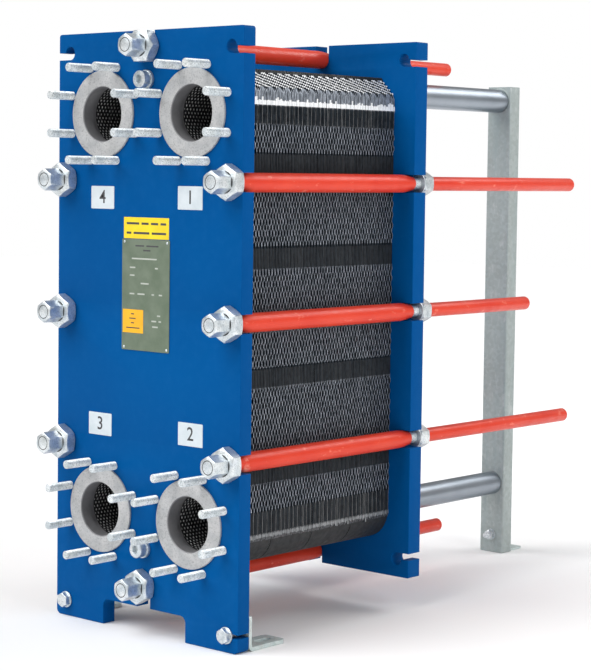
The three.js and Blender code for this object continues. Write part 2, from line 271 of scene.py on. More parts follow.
def inset(loop, distance):
    """The loop moved to its left by a distance: inwards for an anticlockwise one."""
    points = np.array(loop)
    before = points - np.roll(points, 1, axis=0)
    after = np.roll(points, -1, axis=0) - points
    before /= np.linalg.norm(before, axis=1, keepdims=True)
    after /= np.linalg.norm(after, axis=1, keepdims=True)
    left = np.stack([-before[:, 1], before[:, 0]], 1) + np.stack([-after[:, 1], after[:, 0]], 1)
    scale = np.maximum(1 + (before * after).sum(1, keepdims=True), 0.3)
    return points + left / scale * distance


def sheet(form, loops, y0, y1, edge=0.0):
    """A plate from an outline and its holes, with rounded edges."""
    angles = [math.pi / 8 * i for i in range(5 if edge else 1)]
    levels = [(edge * (1 - math.sin(a)), edge * (1 - math.cos(a))) for a in angles]
    levels = [(d, y0 + dy) for d, dy in levels] + [(d, y1 - dy) for d, dy in reversed(levels)]
    firsts = []
    for loop in loops:
        firsts.append(len(form.points))
        form.rows([[(x, y, z) for x, z in (inset(loop, d) if d else loop)] for d, y in levels])
    flat = [[Vector((x, z, 0)) for x, z in (inset(loop, edge) if edge else loop)] for loop in loops]
    triangles = tessellate_polygon(flat)
    for level in (0, len(levels) - 1):
        corners = []
        for loop, first in zip(loops, firsts):
            corners += [first + level * len(loop) + i for i in range(len(loop))]
        for triangle in triangles:
            form.face([corners[i] for i in triangle])


# ---- materials ----
WORN, SPANGLE = "worn", "spangle"  # the fields that aren't noise


class Nodes:
    """A short way to build a node material around a Principled shader."""

    def __init__(self, name, **sockets):
        self.material = bpy.data.materials.new(name)
        self.material.use_nodes = True
        self.tree = self.material.node_tree
        self.shader = self.tree.nodes["Principled BSDF"]
        for socket, value in sockets.items():
            self.shader.inputs[socket.replace("_", " ")].default_value = value
        self.place = self.add("ShaderNodeTexCoord").outputs["Object"]

    def add(self, kind, inputs=(), **settings):
        node = self.tree.nodes.new(kind)
        for key, value in settings.items():
            setattr(node, key, value)
        for key, value in dict(inputs).items():
            if isinstance(value, bpy.types.NodeSocket):
                self.tree.links.new(value, node.inputs[key])
            else:
                node.inputs[key].default_value = value
        return node

    def noise(self, scale, detail=3, stretch=None):
        place = self.place
        if stretch:
            place = self.add("ShaderNodeMapping", {"Vector": place, "Scale": stretch}).outputs[0]
        inputs = {"Vector": place, "Scale": scale, "Detail": detail, "Roughness": 0.55}
        return self.add("ShaderNodeTexNoise", inputs).outputs["Fac"]

    def field(self, source):
        """Noise, 1 on sharp outer edges and 0 elsewhere, or grey cells like zinc crystals."""
        if source == WORN:
            point = self.add("ShaderNodeNewGeometry").outputs["Pointiness"]
            return self.spread(point, 0, 1, 0.5, 0.56)
        if source == SPANGLE:
            cells = self.add("ShaderNodeTexVoronoi", {"Vector": self.place, "Scale": 150})
            return self.add("ShaderNodeRGBToBW", {"Color": cells.outputs["Color"]}).outputs[0]
        return self.noise(*source)

    def spread(self, value, low, high, start=0.3, end=0.7):
        inputs = {"Value": value, "From Min": start, "From Max": end, "To Min": low, "To Max": high}
        return self.add("ShaderNodeMapRange", inputs).outputs[0]

    def blend(self, share, first, second):
        factor, colour_a, colour_b, result = 0, 6, 7, 2  # the sockets of a Mix node for colours
        inputs = {factor: share, colour_a: first, colour_b: second}
        return self.add("ShaderNodeMix", inputs, data_type="RGBA").outputs[result]

    def link(self, value, socket):
        self.tree.links.new(value, self.shader.inputs[socket])


def surface(name, base, layers, rough, bumps, **sockets):
    """A material: colours laid over a base, a roughness and bumps, all from noise.

    A layer is its field, the most it covers, its colour and the values of the field between
    which it sets in, if they aren't 0.3 and 0.7. The roughness is its noise, least and most. A
    bump is its noise, depth in millimetres and strength. Noise is scale, detail and stretch.
    """
    n = Nodes(name, **sockets)
    colour = (*base, 1)
    for field, share, tone, *span in layers:
        colour = n.blend(n.spread(n.field(field), 0, share, *span), colour, (*tone, 1))
    n.link(colour, "Base Color")
    noise, low, high = rough
    n.link(n.spread(n.noise(*noise), low, high), "Roughness")
    under = {}
    for noise, depth, strength in bumps:
        inputs = {"Height": n.noise(*noise), "Distance": depth * MM, "Strength": strength, **under}
        under = {"Normal": n.add("ShaderNodeBump", inputs).outputs[0]}
    n.link(under["Normal"], "Normal")
    return n.material


def shade(tone, *shares):
    return tuple(tone * share for share in shares)


def zinc(name, bright, rough, mottle, metal):
    """Bright zinc plate: blue-grey patches, fine mottling and handling marks."""
    return surface(name, shade(bright, 0.97, 1.02, 1.06), [
        ((60, 5), 1, shade(bright, 0.62, 0.70, 0.76), 0.35, 0.66),
        ((420, 2), mottle, shade(bright, 0.3, 0.36, 0.4), 0.5, 0.64),
        ((25, 3), 0.2, (0.72, 0.66, 0.5)),
    ], ((160, 4), rough, rough + 0.2), [((400, 3, (1, 0.1, 1)), 0.05, 0.6)], Metallic=metal)


def galvanised(name, tone):
    """Hot-dip galvanised steel with a faint spangle, mill streaks and pale wear."""
    return surface(name, shade(tone, 1, 1.13, 1.10), [
        (SPANGLE, 1, shade(tone, 1.16, 1.3, 1.28), 0.2, 0.8),
        ((16, 4, (3, 3, 0.15)), 0.6, shade(tone, 0.85, 1.08, 1.1), 0.45, 0.75),
        ((90, 5, (1, 1, 0.4)), 0.5, (0.60, 0.62, 0.61), 0.58, 0.72),
    ], ((40, 4), 0.42, 0.6), [((120, 3), 0.08, 0.5)], Metallic=0.3)


def pressed(name, dark, light, rough, metal):
    """Thin pressed sheet with streaks along its edge."""
    return surface(name, dark, [((260, 2, (0.3, 1.2, 0.3)), 1, light, 0.35, 0.65)],
                   ((200, 2), rough, rough + 0.2), [((500, 2), 0.05, 0.5)], Metallic=metal)


def rubber(name, tone):
    """Black gasket rubber with a dusting."""
    return surface(name, shade(tone, 1, 1.1, 1.25), [((120, 4), 0.6, shade(tone, 2.2, 2.3, 2.4))],
                   ((90, 3), 0.5, 0.75), [((400, 3), 0.1, 1)])


def print_stock(name, colour, dirt, rough=0.5, metal=0.0):
    """A card, film or data plate, or the ink on it, with faint dirt."""
    return surface(name, colour, [((35, 5), 1, dirt, 0.35, 0.7)],
                   ((60, 3), rough, rough + 0.15), [((150, 3), 0.08, 0.5)], Metallic=metal)


# blue machine enamel with orange peel and darker worn edges
PAINT = surface("blue_paint", (0.0, 0.078, 0.272), [
    ((3.5, 4), 1, (0.0, 0.090, 0.302)),
    ((60, 5), 0.12, (0.02, 0.15, 0.42), 0.45, 0.8),
    (WORN, 0.3, (0.0, 0.05, 0.21), 0, 1),
], ((25, 4), 0.38, 0.52), [((700, 2), 0.03, 1), ((60, 2), 0.12, 0.6)], Specular_IOR_Level=0.03)
ZINC = zinc("zinc_plate", 0.88, 0.28, 0.45, 0.8)
THREAD = zinc("zinc_thread", 0.86, 0.34, 0.8, 0.45)
# black rings of painted shade in the gaps at the tie bolts' heads
SHADE_GAP = rubber("painted_shade_gap", 0.012)
# blasted stainless raised face, faintly mottled
LINER = surface("port_face", (0.40, 0.41, 0.42), [
    ((45, 5), 1, (0.55, 0.55, 0.55)),
    ((330, 3), 0.7, (0.24, 0.25, 0.26), 0.52, 0.7),
    ((18, 4), 0.3, (0.34, 0.34, 0.33), 0.55, 0.75),
], ((90, 3), 0.45, 0.62), [((500, 3), 0.12, 1)], Metallic=0.2)
# the port's inner wall, a darker grey
BORE = surface("port_bore", (0.20, 0.20, 0.21), [((30, 4), 1, (0.29, 0.29, 0.30))],
               ((80, 3), 0.4, 0.6), [((300, 3), 0.05, 1)], Metallic=0.3)
# red-orange protective tube with paler scuffs
PLASTIC = surface("red_sleeve", (0.67, 0.036, 0.014), [
    ((9, 3), 1, (0.74, 0.060, 0.026)),
    ((28, 5, (1, 1.4, 3)), 0.75, (0.95, 0.36, 0.26), 0.62, 0.78),
], ((50, 4), 0.3, 0.46), [((35, 3, (1, 0.25, 1)), 0.5, 0.5)], Specular_IOR_Level=0.3)
GALVANISED = galvanised("galvanised_column", 0.35)
BRACKET_STEEL = galvanised("galvanised_bracket", 0.55)
# ground bar with fine marks around it, a little dulled by handling
POLISHED = surface("polished_bar", (0.29, 0.325, 0.365), [((10, 4), 1, (0.36, 0.395, 0.44))],
                   ((7, 4, (1, 0.5, 1)), 0.36, 0.46),
                   [((260, 2, (0.02, 1, 0.02)), 0.004, 0.5)], Metallic=1.0)
BRONZE = pressed("bronze", (0.30, 0.20, 0.09), (0.42, 0.30, 0.15), 0.4, 0.9)
EDGE_STEEL = pressed("plate_edges", (0.12, 0.14, 0.165), (0.40, 0.44, 0.50), 0.38, 0.35)
# near-white plate edges: painted highlight and reflection on the upper corners and the white line
# where they begin
HIGHLIGHT_STEEL = pressed("painted_highlight_edges", (0.80, 0.82, 0.84), (0.94, 0.95, 0.96), 0.3, 0.1)
# dark plate edges of the lower corners: painted shade where the edges turn down
LOWER_SHADE_STEEL = pressed("lower_corner_painted_shade", (0.05, 0.052, 0.056), (0.13, 0.133, 0.14), 0.4, 0.4)
# pale plate edges: sparse edges in the outermost gasket band, and a painted highlight line above
# the lower corner
PALE_AND_HIGHLIGHT_STEEL = pressed("pale_edges_and_painted_highlight", (0.15, 0.16, 0.165), (0.30, 0.31, 0.32), 0.4, 0.3)
# near-black plate edges: the gasket bands, the dark upper-corner stripes, and painted shade on the
# plates' faces between neighbours
BAND_AND_SHADE_STEEL = pressed("band_edges_and_painted_shade", (0.010, 0.016, 0.023), (0.034, 0.046, 0.060), 0.45, 0.3)
PORT_STEEL = pressed("port_edges", (0.55, 0.56, 0.57), (0.95, 0.95, 0.95), 0.35, 0.1)
SHEET_STEEL = pressed("plate_sheet", (0.42, 0.42, 0.42), (0.56, 0.56, 0.55), 0.28, 1.0)
RUBBER = rubber("gasket", 0.010)
CARD = print_stock("white_card", (0.66, 0.72, 0.76), (0.56, 0.63, 0.67))
INK = print_stock("ink", (0.035, 0.035, 0.04), (0.07, 0.07, 0.075))
YELLOW = print_stock("yellow_film", (0.90, 0.69, 0.01), (0.80, 0.58, 0.01))
ORANGE = print_stock("orange_film", (0.92, 0.47, 0.01), (0.82, 0.38, 0.01))
DATA_PLATE = print_stock("data_plate", (0.13, 0.175, 0.12), (0.18, 0.225, 0.165), 0.35, 0.3)
PALE_PRINT = print_stock("pale_print", (0.50, 0.53, 0.48), (0.40, 0.43, 0.38))


# ---- frame plate and pressure plate ----
def side_openings(eyes, extra=()):
    """The right side's cut-outs from the bottom up: eyes, tie bolt slots and any others."""
    cuts = list(extra)
    for z in eyes:
        slot = z - EYE_DROP if z == UPPER_EYE else z + EYE_DROP
        cuts.append((EYE_X, z, EYE_RADIUS, slot - EYE_SLOT / 2, slot + EYE_SLOT / 2))
    for name in TIE_NAMES[1:6:2]:
        x, z = TIES[name]
        cuts.append((x, z, SLOT_RADIUS, z - SLOT_RADIUS, z + SLOT_RADIUS))
    return [keyhole(HALF_WIDTH, *cut) for cut in sorted(cuts, key=lambda cut: cut[1])]


def middle_slot(name, edge, way):
    """A middle bolt's slot, open to the plate's top edge (way 1) or bottom edge (way -1)."""
    x, z = TIES[name]
    cut = keyhole(way * edge, way * z, x, SLOT_RADIUS, x - SLOT_RADIUS, x + SLOT_RADIUS)
    return [(-way * v, way * u) for u, v in cut]


def over_top(top, corner, cuts):
    """An outline from the right side's lowest cut-out over the top to the left side's."""
    outline = sum(cuts, [])
    outline += arc((HALF_WIDTH - corner, top - corner), corner, 0, 90, 4)
    outline += middle_slot("top_centre", top, 1)
    outline += arc((-HALF_WIDTH + corner, top - corner), corner, 90, 180, 4)
    for cut in reversed(cuts):
        outline += [(-x, z) for x, z in reversed(cut)]
    return outline


def frame_outline():
    low_corner = 10 * MM
    half_cut, cut_top, cut_radius = 105 * MM, 46 * MM, 12 * MM
    bolt_x, bolt_z = 205 * MM, 30 * MM
    foot = (bolt_x, bolt_z, FOOT_HOLE, bolt_z - FOOT_SLOT / 2, bolt_z + FOOT_SLOT / 2)
    return [
        (-half_cut, 0),
        *arc((-half_cut + cut_radius, cut_top - cut_radius), cut_radius, 180, 90, 7),
        *middle_slot("bottom_centre", cut_top, -1),
        *arc((half_cut - cut_radius, cut_top - cut_radius), cut_radius, 90, 0, 7),
        (half_cut, 0),
        *arc((HALF_WIDTH - low_corner, low_corner), low_corner, -90, 0, 7),
        *over_top(FRAME_HIGH.z, 5 * MM, side_openings([UPPER_EYE], [foot])),
        *arc((-HALF_WIDTH + low_corner, low_corner), low_corner, 180, 270, 7),
    ]


def frame_plate():
    form = Form()
    loops = [frame_outline(), *port_holes(PORT_BORE + 5.3 * MM, 64)]
    sheet(form, loops, FRAME_LOW.y, FRAME_HIGH.y, EDGE)
    piece(form, "frame_plate_painted", "root", [PAINT], ["frame_plate"])


def pressure_outline():
    corner, low = 2 * MM, PRESSURE_LOW.z
    return [
        *arc((-HALF_WIDTH + corner, low + corner), corner, 180, 270, 4),
        *middle_slot("bottom_centre", low, -1),
        *arc((HALF_WIDTH - corner, low + corner), corner, -90, 0, 4),
        *over_top(PRESSURE_HIGH.z, corner, side_openings([LOWER_EYE, UPPER_EYE])),
    ]


def pressure_plate():
    form = Form()
    bushes = {node: (0, middle(node).z) for node in ("hanger_bush", "guide_bush")}
    holes = [circle(place, 29.2 * MM, 48) for place in bushes.values()]
    sheet(form, [pressure_outline(), *holes], PRESSURE_LOW.y, PRESSURE_HIGH.y, EDGE)
    body = "pressure_plate"
    piece(form, "pressure_plate_painted", body, [PAINT], ["pressure_plate"])
    inner, outer, bevel = BAR_RADIUS + 0.3 * MM, 29 * MM, 0.8 * MM
    for node, place in bushes.items():
        low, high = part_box(node)
        profile = bevelled(inner + bevel, outer, low.y, high.y, bevel)
        profile += [(inner, high.y - bevel), (inner, low.y + bevel)]
        bush = Form()
        turned(bush, place, profile, closed=True)
        piece(bush, f"{node}_ring", body, [BRONZE], [node])


# ---- ports ----
def ports():
    tube, bevel, back_bore = PORT_BORE + 5 * MM, 0.8 * MM, PORT_BORE + 2.5 * MM
    studs, reach, radius = 8, 90 * MM, 8 * MM
    for name, place in PORTS.items():
        node = f"port_liner_{name}"
        low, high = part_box(node)
        face, back = low.y, high.y
        outer = high.x - place[0]
        profile = [  # radius, y, and 1 where the bore's material starts
            (PORT_BORE + 1.5 * MM, face, 0), (outer - bevel, face, 0), (outer, face + bevel, 0),
            (outer, FRONT - GAP, 0), (tube, FRONT - GAP, 0), (tube, back, 1),
            (back_bore, back, 1), (back_bore, back - 9 * MM, 1),
            (PORT_BORE, back - 9.5 * MM, 1), (PORT_BORE, face + 1.5 * MM, 1),
        ]
        form = Form()
        rows = [ring(place, y, distance, 96) for distance, y, _ in profile]
        form.rows(rows, lambda i, j: profile[i][2], close=True)
        piece(form, f"port_face_{name}", "root", [LINER, BORE], [node])
        form = Form()
        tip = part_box(f"port_studs_{name}")[0].y
        for i in range(studs):
            angle = (i + 0.5) * 2 * math.pi / studs
            at = (place[0] + reach * math.cos(angle), place[1] + reach * math.sin(angle))
            threaded(form, at, tip, FRONT + 3 * MM, radius, 2 * MM, sides=32)
        piece(form, f"studs_{name}", "root", [THREAD], [f"port_studs_{name}"], 30)


# ---- tie bolts ----
def tie_bolts():
    shank = ROD_RADIUS - 0.6 * MM
    nut_start = FRONT - 22.3 * MM
    thread_start = PRESSURE_LOW.y + 8 * MM
    for name, place in TIES.items():
        node = f"tie_bolt_{name}"
        low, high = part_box(node)
        turn = math.pi / 6 if name == "top_centre" else 0.0
        form = Form()
        nut(form, place, low.y, nut_start + 0.2 * MM, 35 * MM, bevels=(True, False))
        turned(form, place, [  # a line of painted shade around the rod's end, drawn black
            (ROD_RADIUS + 1.2 * MM, low.y + 1 * MM), (ROD_RADIUS + 1.2 * MM, low.y - 0.01 * MM),
            (ROD_RADIUS - 0.2 * MM, low.y - 0.02 * MM), (ROD_RADIUS - 0.2 * MM, low.y + 1 * MM),
        ], part=1, closed=True)
        nut(form, place, nut_start, FRONT - GAP, 55 * MM, turn=turn)
        turned(form, place, [  # a line of painted shade between the head and the large nut, drawn black
            (19.5 * MM, nut_start + 0.5 * MM), (19.5 * MM, nut_start - 0.6 * MM),
            (17.6 * MM, nut_start - 0.7 * MM), (17.6 * MM, nut_start + 0.5 * MM),
        ], part=1, closed=True)
        turned(form, place, [  # the nut's collar in the frame plate's slot
            (15 * MM, FRONT - 0.5 * MM), (15 * MM, FRONT + 10.5 * MM), (14.4 * MM, FRONT + 11 * MM),
            (ROD_RADIUS, FRONT + 11 * MM), (ROD_RADIUS, FRONT - 0.5 * MM),
        ], closed=True)
        thread_end = min(PRESSURE_HIGH.y + 215 * MM, high.y)
        turned(form, place, [(shank, FRONT - 5 * MM), (shank, thread_start + 1 * MM)], 24)
        threaded(form, place, thread_start, thread_end, ROD_RADIUS, 3 * MM, 2, 20)
        if high.y - thread_end > 2 * MM:
            turned(form, place, [(shank, thread_end - 1 * MM), (shank, high.y)], 24)
        piece(form, f"tie_rod_{name}", node, [ZINC, SHADE_GAP, THREAD], [node])
        front_sleeve(name, place)
        rear_fittings(name, place)


def front_sleeve(name, place):
    """A soft tube, drawn in where it enters the slots."""
    node = f"front_sleeve_{name}"
    low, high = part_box(node)
    neck, full, taper, bulge = 13.7 * MM, 17 * MM, 30 * MM, 0.4 * MM
    profile = [(TUBE_BORE, low.y)]
    for share in np.linspace(0, 1, 9):
        reach = neck + (full - neck) * math.sin(share * math.pi / 2) ** 1.1
        profile.append((min(reach, neck + (full - neck) * share + bulge), low.y + taper * share))
    profile.append((full, (low.y + high.y) / 2))
    for share in np.linspace(1, 0, 9):
        reach = neck + (full - neck) * share + bulge * math.sin(share * math.pi)
        profile.append((min(reach, full), high.y - taper * share))
    profile.append((TUBE_BORE, high.y))
    form = Form()
    turned(form, place, profile, closed=True)
    piece(form, f"front_tube_{name}", f"tie_bolt_{name}", [PLASTIC], [node], 60)


def rear_fittings(name, place):
    """The nut behind the pressure plate with its washer, and the closed tube behind it."""
    node = f"rear_nut_{name}"
    low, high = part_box(node)
    form = Form()
    washer = 2.2 * MM
    turned(form, place, [
        (NUT_BORE, low.y), (20.2 * MM, low.y), (20.5 * MM, low.y + 0.3 * MM),
        (20.5 * MM, low.y + washer), (NUT_BORE, low.y + washer),
    ], closed=True)
    nut(form, place, low.y + washer, high.y, 41 * MM, hole=NUT_BORE)
    piece(form, f"lock_nut_{name}", node, [ZINC], [node])
    node = f"rear_sleeve_{name}"
    low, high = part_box(node)
    radius, cap, axis = 13.5 * MM, 5 * MM, 1e-5
    profile = [
        (TUBE_BORE, low.y), (radius - 0.9 * MM, low.y), (radius - 0.3 * MM, low.y + 4 * MM),
        (radius, low.y + 14 * MM), (radius, high.y - 1.6 * MM),
        (radius - 0.5 * MM, high.y - 0.5 * MM), (radius - 1.6 * MM, high.y),
        (axis, high.y), (axis, high.y - cap), (TUBE_BORE, high.y - cap),
    ]
    form = Form()
    turned(form, place, profile, 40, closed=True)
    piece(form, f"rear_tube_{name}", node, [PLASTIC], [node], 50)


# ---- plate pack ----
PACK_LOW, PACK_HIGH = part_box("plate_group_1")
PLATES = 28  # in each group
CORNER = 57 * MM
NOTCH = BAR_RADIUS + 1.5 * MM
CELL = 20 * MM  # height of one wave of a plate's edge: two rows of cells
PACK_MIDDLE = (PACK_LOW.z + PACK_HIGH.z) / 2
# gasket bands, as heights above and below the pack's middle
BANDS = ((89 * MM, 125 * MM), (249 * MM, 291 * MM), (343 * MM, 384 * MM))
DEEP = 10 * MM
SHALLOW = 1.5 * MM
SET_BACK = 0.8 * MM  # from a group's ends to its gaskets and pressed faces
STRIPE = 10 * MM  # width of one stripe of painted reflection on the upper corner
STRIPE_SHIFT = 0.18  # of a stripe, from one plate to the next

# One corner point of a plate's edge: its place, the way inwards, the wave across the plates
# from -1 to 1, how thick the edge looks, its material, and the kind of edge it is on.
Rim = namedtuple("Rim", "x z dx dz wave thick part kind")
STEEL, BRIGHT, FOOT, DARK, PALE, BLACK = range(6)
PLAIN, STRIPED, SPARSE, TOOTH_UP, TOOTH_DOWN = range(5)


def band_at(z):
    """The number of the gasket band at this height, or None where the edges form cells."""
    offset = abs(z - PACK_MIDDLE)
    for number, (low, high) in enumerate(BANDS):
        if low <= offset <= high:
            return number
    return None


def plate_edge():
    """One plate's right half, from the bottom notch to the top one."""
    half = PACK_HIGH.x
    low, high = PACK_LOW.z, PACK_HIGH.z
    knee, shoulder = low + CORNER, high - CORNER
    thin, middling, full = 1.0 * MM, 2.6 * MM, 3.8 * MM
    side = (-1, 0)  # the way inwards from the side
    rim = []

    def add(x, z, inward, thick=thin, part=DARK, kind=PLAIN, wave=0):
        rim.append(Rim(x, z, *inward, wave, thick, part, kind))

    for x, z in arc((0, GUIDE), NOTCH, 90, 0, 6):
        add(x, z, (x / NOTCH, (z - GUIDE) / NOTCH))
    add(NOTCH, low, (0.7, 0.7))
    # the lower corner: near-black edges, painted shade on the corner that faces down
    add(half - CORNER, low, (0, 1), full, FOOT)
    for across, height in ((46, 4), (36, 9.5), (25.5, 17), (15, 28), (7, 38), (2, 47)):
        away = Vector((across - CORNER / MM, CORNER / MM - height)).normalized()
        add(half - across * MM, low + height * MM, away, full, FOOT)
    # a painted highlight: a pale line with teeth where the lower corner ends
    add(half, knee - 4 * MM, side, full, PALE, TOOTH_DOWN)
    add(half, knee - 0.5 * MM, side, full, PALE)
    add(half, knee + 1.5 * MM, side, 2 * MM, PALE)
    count = 0
    for z in np.arange(knee + 3 * MM, shoulder - 7 * MM, CELL / 4):
        band = band_at(z)
        if band is None:
            add(half, z, side, thin, STEEL, PLAIN, 1 if count % 4 < 2 else -1)
            count += 1
        else:
            add(half, z, side, kind=SPARSE if band == 2 else PLAIN)
    # a painted highlight: a white line with teeth where the upper corner begins
    add(half, shoulder - 7 * MM, side, full, BRIGHT)
    add(half, shoulder - 1.5 * MM, side, full, BRIGHT, TOOTH_UP)
    add(half, shoulder + 1 * MM, side, middling, STEEL)
    add(half - 1 * MM, shoulder + 16 * MM, side, middling, STEEL)
    # the upper corner in stripes of painted reflection of the light from above, bright edges
    # against dark recessed ones
    first, last = (half - 3 * MM, high - 32 * MM), (half - 29 * MM, high - 7 * MM)
    for share in np.linspace(0, 1, 34):
        x, z = (a + (b - a) * share for a, b in zip(first, last))
        add(x, z, (-0.707, -0.707), thin, BRIGHT, STRIPED, share)
    # the plates' top edge drawn black in gasket rubber: painted shade on the pack's top
    add(half - 29.5 * MM, high - 6 * MM, (-0.9, -0.3), 2.4 * MM, BLACK)
    add(half - 32 * MM, high - 0.5 * MM, (-0.7, -0.7), 2.4 * MM, BLACK)
    add(half - 37 * MM, high, (0, -1), thin, BLACK)
    add(NOTCH, high, (0.7, -0.7))
    for x, z in arc((0, CARRY), NOTCH, 0, -90, 6):
        add(x, z, (x / NOTCH, (z - CARRY) / NOTCH))
    return rim


def pack_piece(form, kind, index, materials, stands_for=(), smooth=20):
    """A piece that moves with a group of plates."""
    body = f"plate_group_{index}"
    piece(form, f"{kind}_{index}", body, materials, stands_for, smooth)


def at_plate(point, number, pitch, bold):
    """A rim point's offset across the plates, thickness, depth, height and material."""
    sign = 1 if number % 2 else -1
    wave, thick, depth, rise, part = point.wave, point.thick, 0.0, 0.0, point.part
    if point.kind == STRIPED:
        # stripes of painted reflection on the upper corner: bright edges where the share is high,
        # dark ones between
        turn = wave * 36 * MM / STRIPE + number * STRIPE_SHIFT
        share = 0.5 + 0.5 * math.sin(2 * math.pi * turn)
        share = share * share * (3 - 2 * share)
        thick = 0.8 * MM + (pitch - 1.0 * MM) * share
        wave, depth = 0, 3.0 * MM * (1 - share)
        part = BRIGHT if share > 0.4 else DARK
    elif point.kind == SPARSE and (number % 3 == 0 or bold):
        thick, part = 0.7 * MM, PALE
    elif point.kind == TOOTH_UP:
        rise = abs(RANDOM.normal(0, 4 * MM))
    elif point.kind == TOOTH_DOWN and bold:
        rise = -abs(RANDOM.normal(0, 7 * MM))
    elif point.kind == TOOTH_DOWN:
        rise = -abs(RANDOM.normal(0, 1.5 * MM))
    return sign * wave, thick, depth, rise, part


def plate_edges(index, low, high, edge):
    """The outer strips of one group's plates, in opposite phase so that they form cells."""
    pitch = (high.y - low.y) / PLATES
    reach = (pitch - 1.1 * MM) / 2
    first = (index - 1) * PLATES
    form = Form()
    for k in range(PLATES):
        y = low.y + (k + 0.5) * pitch + RANDOM.uniform(-0.15, 0.15) * MM
        strip, parts = [], []
        proud = abs(RANDOM.normal(0, 0.35 * MM))
        bold = RANDOM.random() < 0.12
        for point in edge:
            wave, thick, depth, rise, part = at_plate(point, first + k, pitch, bold)
            depth += proud + abs(RANDOM.normal(0, 0.1 * MM))
            wave *= RANDOM.uniform(0.75, 1)
            here = min(max(y + wave * reach, low.y + thick / 2), high.y - thick / 2)
            before, after = here - thick / 2, here + thick / 2
            x0, z0 = point.x + point.dx * depth, point.z + point.dz * depth + rise
            x1, z1 = point.x + point.dx * DEEP, point.z + point.dz * DEEP + rise
            strip.append(((x0, before, z0), (x0, after, z0), (x1, after, z1), (x1, before, z1)))
            parts.append(part)
        # each strip's sides and inner face are near black: painted shade between the plates
        form.rows(list(zip(*strip)), lambda i, j: DARK if i else parts[j], close=True)
    materials = [EDGE_STEEL, HIGHLIGHT_STEEL, LOWER_SHADE_STEEL, BAND_AND_SHADE_STEEL, PALE_AND_HIGHLIGHT_STEEL, RUBBER]
    pack_piece(form, "plate_edges", index, materials, [f"plate_group_{index}"])


def port_rings(index, low, high):
    """The plates' edges around the four ports: bright rims where neighbours touch."""
    pitch = (high.y - low.y) / PLATES
    sides, wave = 96, 4
    inner, outer, thin = PORT_BORE + 1 * MM, PORT_BORE + 10 * MM, 0.65 * MM
    corners = ((inner, -thin), (inner, thin), (outer, thin), (outer, -thin))
    form = Form()
    for x, z in PORTS.values():
        for k in range(PLATES):
            phase = ((index - 1) * PLATES + k) % 2 * wave // 2
            strip = []
            for i in range(sides):
                angle = 2 * math.pi * i / sides
                crest = 0.5 if (i + phase) % wave < wave / 2 else -0.5
                here = low.y + (k + 0.5) * pitch + crest * (pitch - 1.4 * MM)
                side, up = math.sin(angle), math.cos(angle)
                strip.append([(x + r * side, here + dy, z + r * up) for r, dy in corners])
            form.rows(list(zip(*strip)), lambda i, j: 1 if i else (j + phase) % 2, close=True)
    pack_piece(form, "port_rings", index, [PORT_STEEL, RUBBER])


def core_outline():
    """The dark inside of the pack: close to the plates' edges in the gasket bands."""
    half = PACK_HIGH.x
    low, high = PACK_LOW.z, PACK_HIGH.z
    edge = CORNER - SHALLOW
    right = arc((half - CORNER, low + CORNER), edge, -90, 0, 10)
    for z in sorted(PACK_MIDDLE + way * v for band in BANDS for v in band for way in (-1, 1)):
        if low + CORNER + 1 * MM < z < high - CORNER - 1 * MM:
            for away in (-0.4 * MM, 0.4 * MM):
                in_cells = band_at(z + away) is None
                right.append((half - (DEEP - 1 * MM if in_cells else SHALLOW), z + away))
    right += [(half - DEEP, high - CORNER + 1 * MM), (half - DEEP, high - 38 * MM)]
    right += [(half - 38 * MM, high - DEEP), (half - 42 * MM, high - SHALLOW)]
    gap = NOTCH + SHALLOW
    top = [(gap, high - SHALLOW)] + arc((0, CARRY), gap, 0, -180, 13) + [(-gap, high - SHALLOW)]
    left = [(-x, z) for x, z in reversed(right)]
    bottom = [(-gap, low + SHALLOW)] + arc((0, GUIDE), gap, 180, 0, 13) + [(gap, low + SHALLOW)]
    return right + top + left + bottom


def core(index, low, high):
    form = Form()
    loops = [core_outline(), *port_holes(PORT_BORE + 9 * MM)]
    sheet(form, loops, low.y + SET_BACK, high.y - SET_BACK)
    pack_piece(form, "gaskets", index, [RUBBER], smooth=40)


def end_sheets(index, low, high):
    """The pressed faces of a group's first and last plates, seen when the pack is open."""
    half = PACK_HIGH.x - 4 * MM
    field_low, field_high = PACK_MIDDLE - 262 * MM, PACK_MIDDLE + 262 * MM
    field_half = half - 14 * MM
    pitch, rise, flush = 12 * MM, 0.7 * MM, 0.15 * MM
    slope = math.tan(math.radians(30))
    form = Form()
    outline = [tuple(point) for point in inset(core_outline(), 1 * MM)]
    loops = [outline, *port_holes(PORT_BORE + 4 * MM)]
    for y, way in ((low.y + SET_BACK, -1), (high.y - SET_BACK, 1)):
        sheet(form, loops, y - 0.1 * MM, y + 0.1 * MM)
        rows = []
        for step, z in enumerate(np.arange(field_low, field_high + field_half * slope, pitch / 4)):
            height = (flush, rise, rise, flush)[step % 4]
            row = []
            for x in (-field_half, 0, field_half):
                at = min(max(z - abs(x) * slope, field_low), field_high)
                flat = at in (field_low, field_high)
                row.append((x, y + way * (flush if flat else height), at))
            rows.append(row)
        form.rows(rows, wrap=False)
    pack_piece(form, "pressed_faces", index, [SHEET_STEEL])


def plate_pack():
    right = plate_edge()
    left = [point._replace(x=-point.x, dx=-point.dx) for point in reversed(right)]
    edge = right + left[1:-1]
    for index in range(1, GROUPS + 1):
        low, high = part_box(f"plate_group_{index}")
        plate_edges(index, low, high, edge)
        port_rings(index, low, high)
        core(index, low, high)
        end_sheets(index, low, high)


